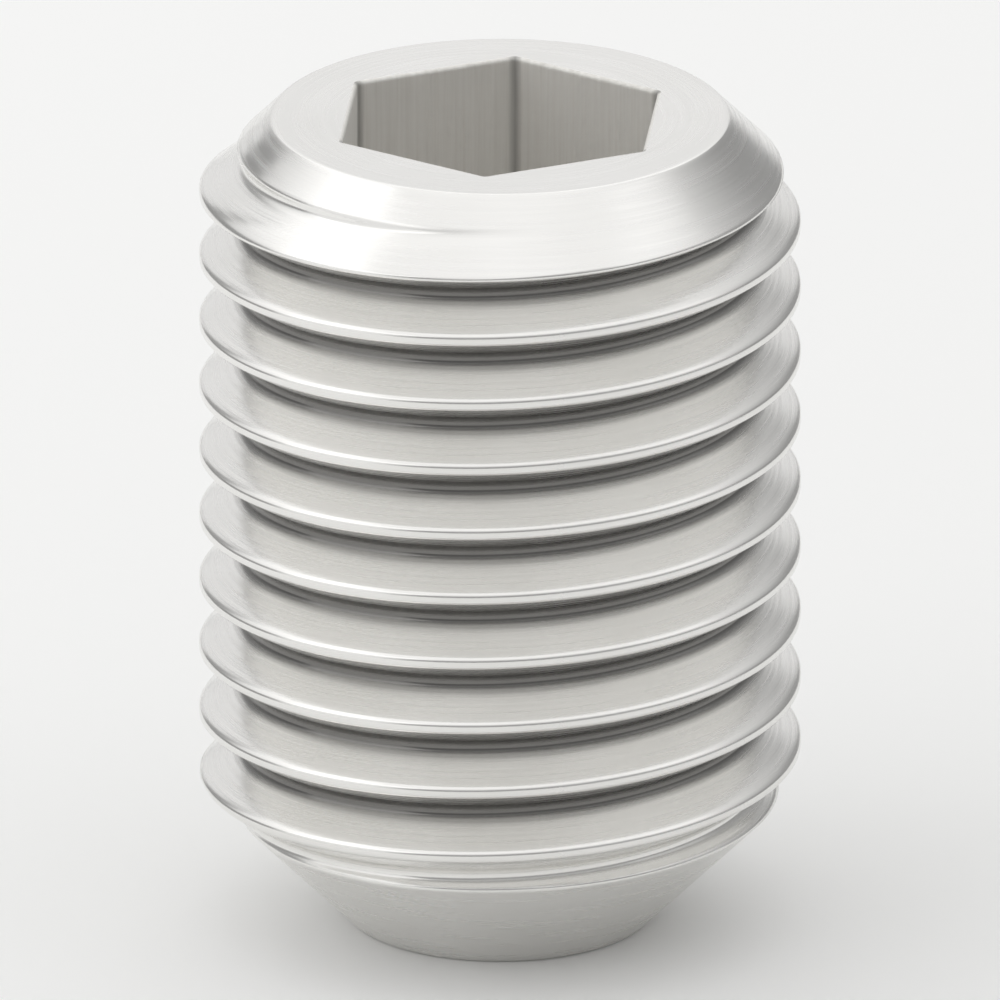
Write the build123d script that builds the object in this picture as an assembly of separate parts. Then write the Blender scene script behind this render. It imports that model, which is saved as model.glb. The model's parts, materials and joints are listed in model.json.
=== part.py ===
from build123d import *
import math
import os

# Hexagon socket set screw with a flat point: one piece of steel, threaded from end to end.
# It stands on its point along +Z, with the origin at the centre of the point's flat face.

# Driving dimensions, in millimetres
LENGTH = 15.6  # from the flat of the point to the socket end
MAJOR_DIAMETER = 11.1125  # over the thread's crests, 7/16 in
PITCH = 1.27  # 20 threads to the inch, right-handed
POINT_DIAMETER = 5.556  # flat face of the point
CHAMFER_HEIGHT = 1.335  # of the socket end's chamfer, along the axis
SOCKET_ACROSS_FLATS = 5.55625  # 7/32 in hexagon
SOCKET_DEPTH = 6.0  # of the hexagon, down to its drilled floor

# Angles, in degrees
THREAD_ANGLE = 60  # between the two flanks of the groove
THREAD_START_ANGLE = 157  # where the groove starts below the point's cone, from +X about the axis
POINT_ANGLE = 45  # of the point's cone to the axis
CHAMFER_ANGLE = 45  # of the socket end's chamfer to the axis
DRILL_ANGLE = 118  # across the cone in the socket's floor
HEXAGON_ANGLE = 30  # puts two of the socket's corners on the Y axis

# Shares of the thread form
CREST_FLAT_SHARE = 1 / 8  # of the pitch
ROOT_FLAT_SHARE = 1 / 6  # of the pitch
OVERRUN_SHARE = 0.4  # of the crest's flat, by which the groove's mouth passes the crests
SPAN_SHARE = 1 / 2  # of a turn, in each length of the groove's path

# Radii that the blank and the thread have in common
major_radius = MAJOR_DIAMETER / 2
point_radius = POINT_DIAMETER / 2
point_slope = math.tan(math.radians(POINT_ANGLE))
chamfer_slope = math.tan(math.radians(CHAMFER_ANGLE))
rim_radius = major_radius - CHAMFER_HEIGHT * chamfer_slope


def turned_blank():
    """Round bar with a chamfer at the socket end and a cone down to the flat of the point."""
    point_height = (major_radius - point_radius) / point_slope
    outline = Polyline(
        (0, 0),
        (point_radius, 0),
        (major_radius, point_height),
        (major_radius, LENGTH - CHAMFER_HEIGHT),
        (rim_radius, LENGTH),
        (0, LENGTH),
        close=True,
    )
    return revolve(Plane.XZ * make_face(outline), Axis.Z)


def thread_groove():
    """V groove with a flat root, wound up the bar and out into the air past both end cones."""
    flank_slope = math.tan(math.radians(THREAD_ANGLE / 2))
    crest_flat = CREST_FLAT_SHARE * PITCH
    overrun = OVERRUN_SHARE * crest_flat

    # Section of the groove, whose mouth lies just outside the crests
    crest_half_width = (PITCH - crest_flat) / 2
    root_half_width = ROOT_FLAT_SHARE * PITCH / 2
    mouth_half_width = crest_half_width + overrun * flank_slope
    root_radius = major_radius - (crest_half_width - root_half_width) / flank_slope
    mouth_radius = major_radius + overrun
    section = make_face(
        Polyline(
            (root_radius, root_half_width),
            (root_radius, -root_half_width),
            (mouth_radius, -mouth_half_width),
            (mouth_radius, mouth_half_width),
            close=True,
        )
    )

    # The path starts and ends one pitch past the heights where the cones cut through the root
    start = (root_radius - point_radius) / point_slope - PITCH
    end = LENGTH - (root_radius - rim_radius) / chamfer_slope + PITCH
    rise = SPAN_SHARE * PITCH
    spans = [
        Pos(0, 0, start + index * rise)
        * Rot(0, 0, THREAD_START_ANGLE + 360 * SPAN_SHARE * index)
        * Helix(pitch=PITCH, height=rise, radius=major_radius)
        for index in range(math.ceil((end - start) / rise))
    ]
    placed_section = Pos(0, 0, start) * Rot(0, 0, THREAD_START_ANGLE) * (Plane.XZ * section)
    return sweep(placed_section, path=Wire(spans), is_frenet=True)


def hexagon_socket():
    """Space of the socket: a hexagon down from the socket end, with a drilled cone under it."""
    drill_radius = SOCKET_ACROSS_FLATS / 2
    drill_height = drill_radius / math.tan(math.radians(DRILL_ANGLE / 2))
    hexagon = RegularPolygon(drill_radius, side_count=6, major_radius=False, rotation=HEXAGON_ANGLE)
    prism = extrude(Pos(0, 0, LENGTH) * hexagon, amount=-SOCKET_DEPTH)
    drill = Cone(0, drill_radius, drill_height, align=(Align.CENTER, Align.CENTER, Align.MAX))
    return prism + Pos(0, 0, LENGTH - SOCKET_DEPTH) * drill


set_screw = turned_blank() - thread_groove() - hexagon_socket()

os.makedirs("parts", exist_ok=True)
export_step(set_screw, "parts/set_screw.step")
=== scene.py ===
import json
import math

import bpy
import numpy as np
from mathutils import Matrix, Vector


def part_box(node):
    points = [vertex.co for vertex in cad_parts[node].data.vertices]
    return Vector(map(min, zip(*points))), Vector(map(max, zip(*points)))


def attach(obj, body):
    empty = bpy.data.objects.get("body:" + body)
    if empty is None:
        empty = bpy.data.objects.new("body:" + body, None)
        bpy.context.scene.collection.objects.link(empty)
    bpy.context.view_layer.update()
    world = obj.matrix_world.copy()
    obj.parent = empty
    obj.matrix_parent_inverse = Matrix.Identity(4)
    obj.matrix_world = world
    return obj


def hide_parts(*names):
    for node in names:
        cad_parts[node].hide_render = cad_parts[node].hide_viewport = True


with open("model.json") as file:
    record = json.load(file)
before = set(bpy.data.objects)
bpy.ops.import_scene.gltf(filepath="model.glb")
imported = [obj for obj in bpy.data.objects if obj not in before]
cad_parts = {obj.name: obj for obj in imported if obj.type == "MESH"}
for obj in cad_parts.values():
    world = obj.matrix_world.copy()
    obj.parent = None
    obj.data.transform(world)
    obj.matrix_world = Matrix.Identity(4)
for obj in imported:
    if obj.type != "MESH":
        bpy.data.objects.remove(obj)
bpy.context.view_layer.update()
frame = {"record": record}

# Set screw
# A piece of stainless steel bar, turned to a chamfer at one end and to a cone with a flat point at the
# other. A thread is rolled along its whole length, and a hexagon socket for a key is broached into the
# chamfered end, down to a drilled floor.
MM = 0.001  # metres: lengths below are in millimetres, and angles in degrees
mount_sizes = {mount["name"]: mount["dims"] for mount in frame["record"]["mounts"]}
screw_low, screw_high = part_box("set_screw")
LENGTH = (screw_high.z - screw_low.z) / MM
MAJOR_RADIUS = mount_sizes["thread"]["r_mm"]  # over the crests
PITCH = 1.27
THREAD_ANGLE = 60  # between the flanks
THREAD_START_ANGLE = 157  # from +X to where the groove starts
CREST_FLAT = PITCH / 8
ROOT_FLAT = PITCH / 6
POINT_RADIUS = 2.778
CHAMFER_HEIGHT = 1.335
CONE_ANGLE = 45  # of the chamfer and of the point's cone, to the axis
SOCKET_SIDES = 6
SOCKET_APOTHEM = 2.778125  # from the axis to the flats
SOCKET_DEPTH = mount_sizes["hex_socket"]["length_mm"]
DRILL_ANGLE = 118  # across the cone in the socket's floor

# Roundings that rolling, turning and broaching leave
CREST_ROUNDING = 0.07
ROOT_ROUNDING = 0.16
CUT_ROUNDING = 0.07  # where the cones cut the thread
EDGE_ROUNDING = 0.12  # round the two end faces
MOUTH_ROUNDING = 0.07  # round the mouth of the socket
CORNER_ROUNDING = 0.1  # in the corners of the socket

# Grid of the mesh
COLUMNS = 216  # round the axis
COLUMN_GATHER_SHARE = 0.6  # how far the columns draw together at the socket's corners
ROWS_PER_PITCH = 32
ROW_GATHER_SHARE = 0.35  # how far the rows draw together at crest and root
ARC_RINGS = 5  # over each rounded edge, and over each short stretch beside one
WALL_RINGS = 10
DRILL_RINGS = 6
SUPPORT = 0.03  # from a rounded edge to the ring that keeps the surface beside it flat

# Places that several of the surfaces have in common
CONE_SLOPE = math.tan(math.radians(CONE_ANGLE))
FLANK_SLOPE = math.tan(math.radians(THREAD_ANGLE / 2))
RIM_RADIUS = MAJOR_RADIUS - CHAMFER_HEIGHT * CONE_SLOPE
ROOT_RADIUS = MAJOR_RADIUS - (PITCH - CREST_FLAT - ROOT_FLAT) / 2 / FLANK_SLOPE
CUT_RADIUS = ROOT_RADIUS - CUT_ROUNDING  # from here inwards the cones are plain
THREAD_LOW = (CUT_RADIUS - POINT_RADIUS) / CONE_SLOPE
THREAD_HIGH = LENGTH - (CUT_RADIUS - RIM_RADIUS) / CONE_SLOPE
GROOVE_START = (ROOT_RADIUS - POINT_RADIUS) / CONE_SLOPE - PITCH
FIRST_CREST = GROOVE_START + PITCH / 2 - PITCH * THREAD_START_ANGLE / 360  # its height at +X

even_angle = np.arange(COLUMNS) * math.tau / COLUMNS
column_angle = even_angle + COLUMN_GATHER_SHARE * np.sin(SOCKET_SIDES * even_angle) / SOCKET_SIDES


def soft_min(a, b, width):
    """Lesser of two lengths, rounded off by a parabola where they are within a width of each other."""
    nearness = np.maximum(width - np.abs(a - b), 0)
    return np.minimum(a, b) - nearness ** 2 / (4 * width)


def turned_rings(radii, heights):
    """Rings of a turned surface: each has one radius and one height all the way round."""
    return np.stack([radii, heights])[:, :, None] * np.ones(COLUMNS)


def edge_rings(edge_radius, cone_height):
    """Profile of an end face's edge and the cone behind it, as radii and distances from the face.

    The edge is an arc that leaves the face level and meets the cone along the cone's own slope, so its
    points go out by the sine and back by one less the cosine of the angle turned. The cone then runs
    straight from the arc to the given distance from the face."""
    turn = np.radians(np.linspace(0, 90 - CONE_ANGLE, ARC_RINGS))
    arc_start = edge_radius - EDGE_ROUNDING * math.tan(turn[-1] / 2)
    arc = np.stack([arc_start + EDGE_ROUNDING * np.sin(turn), EDGE_ROUNDING * (1 - np.cos(turn))])
    back = np.linspace(arc[1, -1] + SUPPORT, cone_height, ARC_RINGS)
    face = np.stack([[arc_start - SUPPORT], [0]])
    return np.hstack([face, arc, np.stack([edge_radius + back * CONE_SLOPE, back])])


def point_rings():
    """Lower end: the flat face of the point from near the axis outwards, its edge, and the plain cone."""
    profile = edge_rings(POINT_RADIUS, THREAD_LOW)
    face = np.linspace(0, profile[0, 0], ARC_RINGS)[1:-1]
    return np.hstack([turned_rings(face, 0 * face), turned_rings(*profile)])


def thread_radius(height):
    """Radius of an endless thread over a grid of heights. The height above the nearest crest of the
    helix, which climbs one pitch a turn, gives the flat crest, the straight flank and the flat root."""
    climb = FIRST_CREST + PITCH * column_angle / math.tau
    from_crest = np.abs((height - climb + PITCH / 2) % PITCH - PITCH / 2)
    flank = MAJOR_RADIUS - (from_crest - CREST_FLAT / 2) / FLANK_SLOPE
    crest = soft_min(MAJOR_RADIUS, flank, CREST_ROUNDING)
    return -soft_min(-crest, -ROOT_RADIUS, ROOT_ROUNDING)


def thread_rings():
    """Thread between the two plain cones, as its rings, its depth and the unlimited climb of each row.

    A row keeps its place on the thread's section while it climbs one pitch a turn. Its height is held
    between the lowest and the highest point that the thread reaches, and its radius is the lesser of
    the thread and the cones. The depth is how far that lies under the blank, as a share of the whole."""
    first = math.floor((THREAD_LOW - FIRST_CREST) / PITCH) - 1
    last = math.ceil((THREAD_HIGH - FIRST_CREST) / PITCH)
    turns = first + np.arange((last - first) * ROWS_PER_PITCH + 1) / ROWS_PER_PITCH
    turns = turns - ROW_GATHER_SHARE * np.sin(2 * math.tau * turns) / (2 * math.tau)
    climb = FIRST_CREST + PITCH * (turns[:, None] + column_angle / math.tau)
    height = np.clip(climb, THREAD_LOW, THREAD_HIGH)
    point_cone = POINT_RADIUS + height * CONE_SLOPE
    chamfer = RIM_RADIUS + (LENGTH - height) * CONE_SLOPE
    cones = np.minimum(point_cone, chamfer)
    radius = soft_min(thread_radius(height), cones, CUT_ROUNDING)
    depth = (np.minimum(cones, MAJOR_RADIUS) - radius) / (MAJOR_RADIUS - ROOT_RADIUS)
    return np.stack([radius, height]), depth, climb


def hexagon_radius(apothem):
    """Radius of a hexagon at each column: the apothem over the cosine of the angle from the middle of
    the nearest flat, rounded into the same for the next flat, which softens the corners."""
    side_angle = math.tau / SOCKET_SIDES
    from_flat = np.abs((column_angle + side_angle / 2) % side_angle - side_angle / 2)
    nearest_flat = apothem / np.cos(from_flat)
    next_flat = apothem / np.cos(side_angle - from_flat)
    return soft_min(nearest_flat, next_flat, CORNER_ROUNDING)


def rim_rings():
    """Upper end: the plain chamfer, its edge, and the flat face, which goes over evenly from round to
    hexagon."""
    radii, drops = edge_rings(RIM_RADIUS, LENGTH - THREAD_HIGH)[:, ::-1]
    share = np.linspace(0, 1, ARC_RINGS + 1)[1:, None]
    mouth = hexagon_radius(SOCKET_APOTHEM + MOUTH_ROUNDING + SUPPORT)
    face = (1 - share) * radii[-1] + share * mouth
    heights = np.full(face.shape, LENGTH)
    return np.hstack([turned_rings(radii, LENGTH - drops), np.stack([face, heights])])


def socket_rings():
    """Socket: the rounded edge of its mouth, six walls, the ledges in the corners, and the drilled cone.

    The mouth's edge is a quarter circle that draws in by one less the sine and drops by one less the
    cosine of the angle turned. The ledges, the cone's edge and its first ring lie a support apart."""
    floor_height = LENGTH - SOCKET_DEPTH
    turn = np.linspace(0, math.pi / 2, ARC_RINGS)
    wall_heights = np.linspace(LENGTH - MOUTH_ROUNDING - SUPPORT, floor_height + SUPPORT, WALL_RINGS)
    drops = MOUTH_ROUNDING * (1 - np.cos(turn))
    heights = np.hstack([LENGTH - drops, wall_heights, floor_height, floor_height])
    insets = np.hstack([MOUTH_ROUNDING * (1 - np.sin(turn)), np.zeros(WALL_RINGS + 1), -SUPPORT])
    walls = np.stack([
        hexagon_radius(SOCKET_APOTHEM + insets[:, None]),
        heights[:, None] * np.ones(COLUMNS),
    ])
    drill_slope = math.tan(math.radians(DRILL_ANGLE / 2))
    drill_edge = SOCKET_APOTHEM - 2 * SUPPORT
    drill_radii = np.linspace(drill_edge - SUPPORT, 0, DRILL_RINGS + 1)[:-1]
    drill_radii = np.hstack([drill_edge, drill_radii])
    drill_heights = floor_height - (drill_edge - drill_radii) / drill_slope
    tip = floor_height - drill_edge / drill_slope
    return walls, turned_rings(drill_radii, drill_heights), tip


# Finishes, as the mesh's material numbers
TURNED = 0
BROACHED = 1


def screw_mesh():
    """All rings from the middle of the point's face, up the outside, over the rim and down the socket,
    each joined to the next by two triangles between neighbouring columns.

    The end of a helical row meets the row one pitch further up. Rows that have left the thread at either
    end fall together on the last plain ring there, and the triangles with no area are dropped."""
    point, (thread, depth, climb), rim = point_rings(), thread_rings(), rim_rings()
    walls, drill, tip = socket_rings()
    radius, height = np.hstack([point, thread, rim, walls, drill])
    points = np.stack([radius * np.cos(column_angle), radius * np.sin(column_angle), height], axis=-1)
    points = np.vstack([points.reshape(-1, 3), [[0, 0, 0], [0, 0, tip]]])

    # Number of each point, ring by ring, with the first column of each ring repeated after its last
    number = np.arange(radius.size).reshape(radius.shape)
    below, threaded, above = np.split(number, [point.shape[1], point.shape[1] + len(climb)])
    rows = np.where(climb <= THREAD_LOW, below[-1], np.where(climb >= THREAD_HIGH, above[0], threaded))
    next_turn = np.hstack([rows[ROWS_PER_PITCH:, 0], np.full(ROWS_PER_PITCH, above[0, 0])])
    rings = np.vstack([
        np.full((1, COLUMNS + 1), radius.size),
        np.hstack([below, below[:, :1]]),
        np.hstack([rows, next_turn[:, None]]),
        np.hstack([above, above[:, :1]]),
        np.full((1, COLUMNS + 1), radius.size + 1),
    ])

    # Two triangles between each four neighbours, with the finish of the strip that they lie in
    p, q, r, s = rings[:-1, :-1], rings[:-1, 1:], rings[1:, 1:], rings[1:, :-1]
    triangles = np.stack([p, q, r, p, r, s], axis=-1).reshape(-1, 3)
    strips = [len(p) - walls.shape[1] - drill.shape[1], walls.shape[1] - 1, drill.shape[1] + 1]
    finish = np.repeat([TURNED, BROACHED, TURNED], 2 * COLUMNS * np.array(strips))
    real = (triangles != np.roll(triangles, 1, axis=1)).all(axis=1)
    used, triangles = np.unique(triangles[real], return_inverse=True)
    # Depth of each thread point, which the steel uses to paint shade into the roots
    groove = np.zeros(len(points), np.float32)
    groove[threaded.reshape(-1)] = depth.reshape(-1)

    mesh = bpy.data.meshes.new("threaded_screw")
    mesh.from_pydata(points[used] * MM, [], triangles.reshape(-1, 3))
    mesh.polygons.foreach_set("use_smooth", np.ones(real.sum(), bool))
    mesh.polygons.foreach_set("material_index", finish[real].astype(np.int32))
    mesh.attributes.new("groove", "FLOAT", "POINT").data.foreach_set("value", groove[used])
    return mesh


# Tone curve of the sRGB standard, which is straight for the darkest values
TONE_STRAIGHT_END = 0.04045
TONE_STRAIGHT_SLOPE = 12.92
TONE_OFFSET = 0.055
TONE_POWER = 2.4
TONE_FULL = 255


def linear(colour):
    """sRGB hex colour as linear red, green, blue and alpha. A dark tone is divided by the slope. Any other
    has the offset added, is scaled back so that white stays one, and is raised to the power."""
    tones = np.frombuffer(bytes.fromhex(colour[1:]), np.uint8) / TONE_FULL
    curved = ((tones + TONE_OFFSET) / (1 + TONE_OFFSET)) ** TONE_POWER
    return (*np.where(tones <= TONE_STRAIGHT_END, tones / TONE_STRAIGHT_SLOPE, curved), 1.0)


def wire(node, inputs):
    """Sets each input of a node, given by name or number, or links it where its value is an output."""
    for name, value in inputs.items():
        if isinstance(value, bpy.types.NodeSocket):
            node.id_data.links.new(value, node.inputs[name])
        else:
            node.inputs[name].default_value = value


def add(tree, kind, inputs, out=0, **settings):
    """Adds a node with its settings and inputs, and gives one of its outputs, by name or number."""
    node = tree.nodes.new(kind)
    for name, value in settings.items():
        setattr(node, name, value)
    wire(node, inputs)
    return node.outputs[out]


def new_material(name):
    """Material with a plain shader, as the material, its node tree and the shader."""
    material = bpy.data.materials.new(name)
    material.use_nodes = True
    return material, material.node_tree, material.node_tree.nodes["Principled BSDF"]


# Sockets of the Mix node for colours, whose names its other sockets have too
FIRST_COLOUR = 6
SECOND_COLOUR = 7
MIXED_COLOUR = 2

# Where nearly all values of a noise lie
NOISE_LOW = 0.3
NOISE_HIGH = 0.7


def worked_steel(tree, shader, colour, marks, roughness, depth):
    """Makes a shader bare steel of a colour, with tool marks that change its gloss and its surface."""
    rough = add(tree, "ShaderNodeMapRange", {
        "Value": marks,
        "From Min": NOISE_LOW,
        "From Max": NOISE_HIGH,
        "To Min": roughness[0],
        "To Max": roughness[1],
    })
    bump = add(tree, "ShaderNodeBump", {
        "Height": marks,
        "Strength": MARK_STRENGTH,
        "Distance": depth * MM,
    })
    wire(shader, {"Base Color": colour, "Metallic": 1.0, "Roughness": rough, "Normal": bump})


# Turned and rolled stainless steel is bright, with a satin gloss. Its marks run round the axis, as rings
# on the end faces and as streaks on the flanks, and draw the highlights out sideways. The roots of the
# thread are painted darker, as painted shade deep in the groove.
STEEL_COLOURS = ("#f4f3f1", "#e9e8e5")
CLOUD_SIZE = 2.5  # of the drift from one colour to the other
# Painted shade: the dark colour laid into the thread's roots and the socket's corners
PAINTED_SHADE_COLOUR = "#4c4a47"
ROOT_SHADE_COVER = 0.85  # share of the painted shade's colour at the bottom of the groove
ROOT_START_SHARE = 0.78  # of the groove's depth, where that colour sets in
MARK_SPACING = 0.06  # real marks lie closer, about 0.02 apart, and wouldn't show
MARK_LENGTH = 4.6
MARK_DEPTH = 0.004
MARK_STRENGTH = 0.6
MARK_DETAIL = 3
STEEL_ROUGHNESS = (0.18, 0.31)


def rolled_stainless_steel():
    """Marks are a noise over the heading from the axis and the distance from it, so they run in rings."""
    material, tree, shader = new_material("rolled_stainless_steel")
    place = add(tree, "ShaderNodeTexCoord", {}, "Object")
    per_mark = 1 / (MARK_SPACING * MM)
    scale = (per_mark, per_mark, 0)
    across = add(tree, "ShaderNodeVectorMath", {0: place, 1: scale}, operation="MULTIPLY")
    ring = add(tree, "ShaderNodeVectorMath", {0: across}, "Value", operation="LENGTH")
    ring = add(tree, "ShaderNodeCombineXYZ", {"Z": ring})
    heading = add(tree, "ShaderNodeVectorMath", {0: across}, operation="NORMALIZE")
    per_turn = [MAJOR_RADIUS / MARK_LENGTH] * 3
    terms = {0: heading, 1: per_turn, 2: ring}
    streak = add(tree, "ShaderNodeVectorMath", terms, operation="MULTIPLY_ADD")
    marks = add(tree, "ShaderNodeTexNoise", {"Vector": streak, "Scale": 1, "Detail": MARK_DETAIL})
    clouds = add(tree, "ShaderNodeTexNoise", {"Vector": place, "Scale": 1 / (CLOUD_SIZE * MM)})
    tint = add(tree, "ShaderNodeMix", {
        "Factor": clouds,
        FIRST_COLOUR: linear(STEEL_COLOURS[0]),
        SECOND_COLOUR: linear(STEEL_COLOURS[1]),
    }, MIXED_COLOUR, data_type="RGBA")
    # Painted shade: the deeper a point lies in the groove, the darker it is painted
    groove = add(tree, "ShaderNodeAttribute", {}, "Fac", attribute_name="groove")
    cover = add(tree, "ShaderNodeMapRange", {
        "Value": groove,
        "From Min": ROOT_START_SHARE,
        "To Max": ROOT_SHADE_COVER,
    })
    colour = add(tree, "ShaderNodeMix", {
        "Factor": cover,
        FIRST_COLOUR: tint,
        SECOND_COLOUR: linear(PAINTED_SHADE_COLOUR),
    }, MIXED_COLOUR, data_type="RGBA")
    worked_steel(tree, shader, colour, marks, STEEL_ROUGHNESS, MARK_DEPTH)
    return material


# Broached stainless steel is duller than turned steel: the broach tears fine lines down the walls, which
# scatter the light and show as faint upright stripes. Painted shade darkens the corners, where walls meet.
BROACH_COLOURS = ("#f6f5f2", "#e6e4e0")
BROACH_SPACING = 0.09  # real lines lie closer, about 0.03 apart, and wouldn't show
BROACH_LENGTH = 3
BROACH_DEPTH = 0.005
BROACH_ROUGHNESS = (0.64, 0.82)
CORNER_SHADE_COVER = 0.5  # share of the painted shade's colour in the corners
CORNER_START_SHARE = 0.92  # of the way from a flat's middle to the corner, where that colour sets in


def broached_stainless_steel():
    """Marks are a noise drawn out along the axis, so they run down the walls of the socket. The angle
    round the axis, folded to and fro between the flats' middles and the corners, places the painted shade."""
    material, tree, shader = new_material("broached_stainless_steel")
    place = add(tree, "ShaderNodeTexCoord", {}, "Object")
    per_line = 1 / (BROACH_SPACING * MM)
    per_length = 1 / (BROACH_LENGTH * MM)
    lines = add(tree, "ShaderNodeMapping", {"Vector": place, "Scale": (per_line, per_line, per_length)})
    marks = add(tree, "ShaderNodeTexNoise", {"Vector": lines, "Scale": 1, "Detail": MARK_DETAIL})
    steel = add(tree, "ShaderNodeMix", {
        "Factor": marks,
        FIRST_COLOUR: linear(BROACH_COLOURS[0]),
        SECOND_COLOUR: linear(BROACH_COLOURS[1]),
    }, MIXED_COLOUR, data_type="RGBA")
    # Painted shade in the corners, where the socket's walls meet
    x = add(tree, "ShaderNodeSeparateXYZ", {0: place}, "X")
    y = add(tree, "ShaderNodeSeparateXYZ", {0: place}, "Y")
    angle = add(tree, "ShaderNodeMath", {0: y, 1: x}, operation="ARCTAN2")
    corner_angle = math.pi / SOCKET_SIDES
    from_flat = add(tree, "ShaderNodeMath", {0: angle, 1: corner_angle}, operation="PINGPONG")
    cover = add(tree, "ShaderNodeMapRange", {
        "Value": from_flat,
        "From Min": CORNER_START_SHARE * corner_angle,
        "From Max": corner_angle,
        "To Max": CORNER_SHADE_COVER,
    })
    colour = add(tree, "ShaderNodeMix", {
        "Factor": cover,
        FIRST_COLOUR: steel,
        SECOND_COLOUR: linear(PAINTED_SHADE_COLOUR),
    }, MIXED_COLOUR, data_type="RGBA")
    worked_steel(tree, shader, colour, marks, BROACH_ROUGHNESS, BROACH_DEPTH)
    return material


screw = bpy.data.objects.new("threaded_screw", screw_mesh())
screw.data.materials.append(rolled_stainless_steel())
screw.data.materials.append(broached_stainless_steel())
bpy.context.scene.collection.objects.link(screw)
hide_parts("set_screw")
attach(screw, "root")

# Floor
# A plain white board under the screw, matt as card is and wide enough to fill the picture.
FLOOR_HALF = 400
FLOOR_COLOUR = "#fbfbfa"
FLOOR_ROUGHNESS = 0.9
board, _, board_shader = new_material("white_matt_card")
wire(board_shader, {"Base Color": linear(FLOOR_COLOUR), "Roughness": FLOOR_ROUGHNESS})
floor_corners = np.array([[-1, -1, 0], [1, -1, 0], [1, 1, 0], [-1, 1, 0]])
floor_mesh = bpy.data.meshes.new("floor")
floor_mesh.from_pydata(floor_corners * FLOOR_HALF * MM, [], [[0, 1, 2, 3]])
floor_mesh.materials.append(board)
floor = bpy.data.objects.new("floor", floor_mesh)
bpy.context.scene.collection.objects.link(floor)

# Light
# A white room that is brighter overhead than round about, with four soft square panels in it: two large
# ones, in front at the left and behind, and a small one at each side, which is stronger at the left.
ROOM_COLOUR = "#ffffff"
ROOM_AROUND = 0.32  # brightness near the floor
ROOM_OVERHEAD = 1.07  # brightness straight above
ROOM_RISE = 0.3  # sine of the elevation at which the room starts to grow brighter
PANEL_DISTANCE = 200  # from the middle of the screw
world = bpy.data.worlds.new("white_room")
world.use_nodes = True
direction = add(world.node_tree, "ShaderNodeTexCoord", {}, "Generated")
upward = add(world.node_tree, "ShaderNodeSeparateXYZ", {0: direction}, "Z")
brightness = add(world.node_tree, "ShaderNodeMapRange", {
    "Value": upward,
    "From Min": ROOM_RISE,
    "To Min": ROOM_AROUND,
    "To Max": ROOM_OVERHEAD,
}, interpolation_type="SMOOTHSTEP")
wire(world.node_tree.nodes["Background"], {"Color": linear(ROOM_COLOUR), "Strength": brightness})
bpy.context.scene.world = world


def aim(thing, azimuth, elevation, distance, height):
    """Puts a lamp or a camera into the scene at a distance from a height on the axis, and faces it there.
    The azimuth goes from -Y towards +X, and the elevation up from the floor."""
    turn = math.radians(azimuth)
    rise = math.radians(elevation)
    level = math.cos(rise)
    outward = np.array([math.sin(turn) * level, -math.cos(turn) * level, math.sin(rise)])
    thing.location = (outward * distance + np.array([0, 0, height])) * MM
    thing.rotation_euler = (math.pi / 2 - rise, 0, turn)
    bpy.context.scene.collection.objects.link(thing)


def soft_panel(name, azimuth, elevation, size, radiance):
    """Square panel that faces the middle of the screw, with a power in proportion to its area."""
    light = bpy.data.lights.new(name, "AREA")
    light.shape = "SQUARE"
    light.size = size * MM
    light.energy = radiance * math.pi * light.size ** 2
    panel = bpy.data.objects.new(name, light)
    panel.visible_camera = False
    aim(panel, azimuth, elevation, PANEL_DISTANCE, LENGTH / 2)


soft_panel("front_panel", azimuth=-62, elevation=26, size=195, radiance=0.58)
soft_panel("back_panel", azimuth=-172, elevation=27, size=200, radiance=0.52)
soft_panel("left_panel", azimuth=-108, elevation=42, size=150, radiance=0.46)
soft_panel("right_panel", azimuth=85, elevation=36, size=150, radiance=0.2)

# Camera
# A parallel view of the whole screw from 20 degrees above the floor, turned 5 degrees to the right, so
# that the socket's far corner lies a little to the right of the middle.
VIEW_AZIMUTH = 5
VIEW_ELEVATION = 20
VIEW_WIDTH = 18.462
VIEW_HEIGHT = 8.065  # of the picture's middle, on the axis
VIEW_DISTANCE = 120
NEAREST_SEEN = 1
FURTHEST_SEEN = 2000
lens = bpy.data.cameras.new("camera")
lens.type = "ORTHO"
lens.ortho_scale = VIEW_WIDTH * MM
lens.clip_start = NEAREST_SEEN * MM
lens.clip_end = FURTHEST_SEEN * MM
camera = bpy.data.objects.new("camera", lens)
aim(camera, VIEW_AZIMUTH, VIEW_ELEVATION, VIEW_DISTANCE, VIEW_HEIGHT)
bpy.context.scene.camera = camera
bpy.context.scene.view_settings.view_transform = "Standard"
